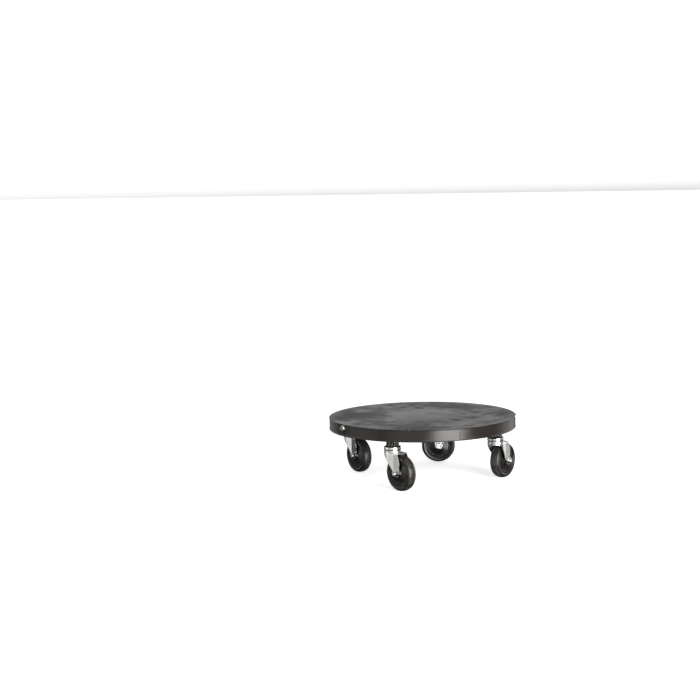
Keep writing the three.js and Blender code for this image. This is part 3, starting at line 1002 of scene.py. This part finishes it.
def wheel_disc():
    """The moulded wheel: a rim groove, a coned disc and a hub boss on each side."""
    side = [
        (TYRE_INSIDE - SEAT_GAP, 0),
        (TYRE_INSIDE - SEAT_GAP, 10.5, 0.4),
        (37.6, 12.7, 0.8),
        (35.2, 12.7, 0.8),
        (33.2, 8.4, 1.6),
        (30, 8.9, 1.2),
        (17.2, 12.3, 1.6),
        (14.6, 13.2, 0.8),
        (13, HUB_HALF_WIDTH, 0.9),
        (8.4, HUB_HALF_WIDTH, 0.4),
        (7.8, HUB_HALF_WIDTH - 0.7),
        (SLEEVE_RADIUS + 0.1, HUB_HALF_WIDTH - 0.7),
    ]
    return worked(spun(mirrored(rounded(side)), 128), crease=40)


def tyre_band():
    """The tread: a crowned band with round shoulders and a lip against the wheel disc."""
    side = [
        (WHEEL_RADIUS, 0),
        (WHEEL_RADIUS, 1.5, 10),
        (54.9, 6, 14),
        (53.0, 12, 5),
        (50.4, 14.8, 2.2),
        (48, 15.5, 2),
        (44, 14.9, 1.2),
        (42.6, 13.7, 0.8),
        (40.6, 13.5, 0.8),
        (TYRE_INSIDE, 11.5, 0.4),
        (TYRE_INSIDE, 0),
    ]
    return worked(spun(mirrored(rounded(side)), 160), crease=40)


# ---------------------------------------------------------------- casters


def turned_mesh(mesh, matrix):
    """The mesh turned in place, for what lies along the axle."""
    mesh.transform(matrix)
    return mesh


def casters():
    """Each mesh is made once, and each caster gets its own copy."""
    seat = Matrix.Translation((0, 0, AXLE_SEAT * MM))
    weld_nut = hex_nut(WELD_NUT_HEX, NUT_LOW.z, NUT_HIGH.z, STEM_RADIUS + SEAT_GAP)
    rounds = {
        "weld_nut": ("weld_hexnut", weld_nut),
        "lock_collar": ("fluted_collar", collar()),
        "kingpin": ("riveted_pin", king_pin()),
        "upper_race": ("race_pressing", race()),
    }
    swivels = {
        "fork": ("fork_pressing", fork()),
        "upper_ball_ring": ("upper_balls", ball_ring(18, 3.5, 125.4, 8)),
        "lower_ball_ring": ("lower_balls", ball_ring(12, 2.6, 115.6, 6)),
    }
    lock = lock_nut(AXLE_HEX, AXLE_NUT, AXLE_RADIUS + SEAT_GAP)
    on_axle = {
        "axle_bolt": ("axle_screw", turned_mesh(axle_screw(), ALONG_AXLE)),
        "axle_nut": ("axle_locknut", turned_mesh(lock, OTHER_WAY @ seat)),
        "axle_sleeve": ("axle_tube", turned_mesh(axle_tube(), ALONG_AXLE)),
        "wheel_core": ("wheel_disc", turned_mesh(wheel_disc(), ALONG_AXLE)),
        "tread": ("tyre_band", turned_mesh(tyre_band(), ALONG_AXLE)),
    }
    for side in SIDES:
        groups = ((rounds, swivel_place), (swivels, caster_place), (on_axle, wheel_place))
        for group, place_of in groups:
            for node, (name, mesh) in group.items():
                finish = FORK_ZINC_LEG_SHADE if node == "fork" else None
                fit(f"{node}_{side}", f"{name}_{side}", mesh.copy(), place_of(side), finish)


# ---------------------------------------------------------------- studio


def camera():
    """A long lens at standing height, a little to the right of the dolly's front."""
    distance, height = 4.96, 0.96
    round_by, pan, tilt, roll = (math.radians(angle) for angle in (21.8, 2.6, 6.4, -1.18))
    data = bpy.data.cameras.new("camera")
    data.lens = 81.05
    data.sensor_width = 36
    made = bpy.data.objects.new("camera", data)
    bpy.context.scene.collection.objects.link(made)
    turn = Matrix.Rotation(round_by + pan, 4, "Z") @ Matrix.Rotation(math.pi / 2 - tilt, 4, "X")
    stand = Matrix.Rotation(round_by, 4, "Z") @ Vector((0, -distance, height))
    made.matrix_world = Matrix.Translation(stand) @ turn @ Matrix.Rotation(roll, 4, "Z")
    bpy.context.scene.camera = made


def panel(name, azimuth, distance, height, size, brightness):
    """A soft light panel, aimed level at the dolly. Brightness is its radiance."""
    data = bpy.data.lights.new(name, "AREA")
    data.shape = "RECTANGLE"
    data.size, data.size_y = size
    data.energy = brightness * 4 * size[0] * size[1]
    light = bpy.data.objects.new(name, data)
    bpy.context.scene.collection.objects.link(light)
    turn = math.radians(azimuth)
    spot = Vector((distance * math.cos(turn), distance * math.sin(turn), height))
    aim = Vector((0, 0, height)) - spot
    light.matrix_world = Matrix.Translation(spot) @ aim.to_track_quat("-Z", "Y").to_matrix().to_4x4()
    light.visible_camera = False


def floor():
    """A pale floor that stays out of reflections, so that metal and paint keep their darks."""
    mesh = bpy.data.meshes.new("floor")
    reach = 60
    square = [(-reach, -reach, 0), (reach, -reach, 0), (reach, reach, 0), (-reach, reach, 0)]
    mesh.from_pydata(square, [], [(0, 1, 2, 3)])
    glow = {"Emission Color": (1, 1, 1), "Emission Strength": 0.62}
    finish = Finish("pale_floor", {"Base Color": (0.93, 0.93, 0.925), "Roughness": 0.8, **glow})
    mesh.materials.append(finish.material)
    made = bpy.data.objects.new("floor", mesh)
    bpy.context.scene.collection.objects.link(made)
    made.visible_glossy = False


def surroundings():
    """A white strip along the horizon, under a grey room and over a dark one."""
    world = bpy.data.worlds.new("studio")
    world.use_nodes = True
    bpy.context.scene.world = world
    nodes = Nodes(world.node_tree)
    direction = nodes.node("TexCoord").outputs["Generated"]
    height = Value(nodes, nodes.node("SeparateXYZ", inputs={0: direction}).outputs[2])
    strip = height.rise(-0.03, -0.005) * height.rise(0.28, 0.2)
    room = nodes.mix(height.rise(-0.02, 0.02), (0.03, 0.03, 0.03), (0.42, 0.42, 0.42))
    color = nodes.mix(strip, room, (1.06, 1.06, 1.06))
    nodes.feed(world.node_tree.nodes["Background"].inputs["Color"], color)
    bpy.context.scene.view_settings.view_transform = "Standard"


camera()
platform()
casters()
floor()
surroundings()
panel("key", -36.5, 3.2, 0.35, (2.0, 2.9), 13)
panel("front", -84, 3.4, 0.35, (2.7, 2.9), 0.6)
panel("left", -145, 3.4, 0.35, (2.9, 2.9), 0.72)
panel("right", 60, 3.4, 0.35, (2.7, 2.9), 0.82)
panel("rear", 150, 3.6, 0.35, (2.4, 2.4), 0.35)
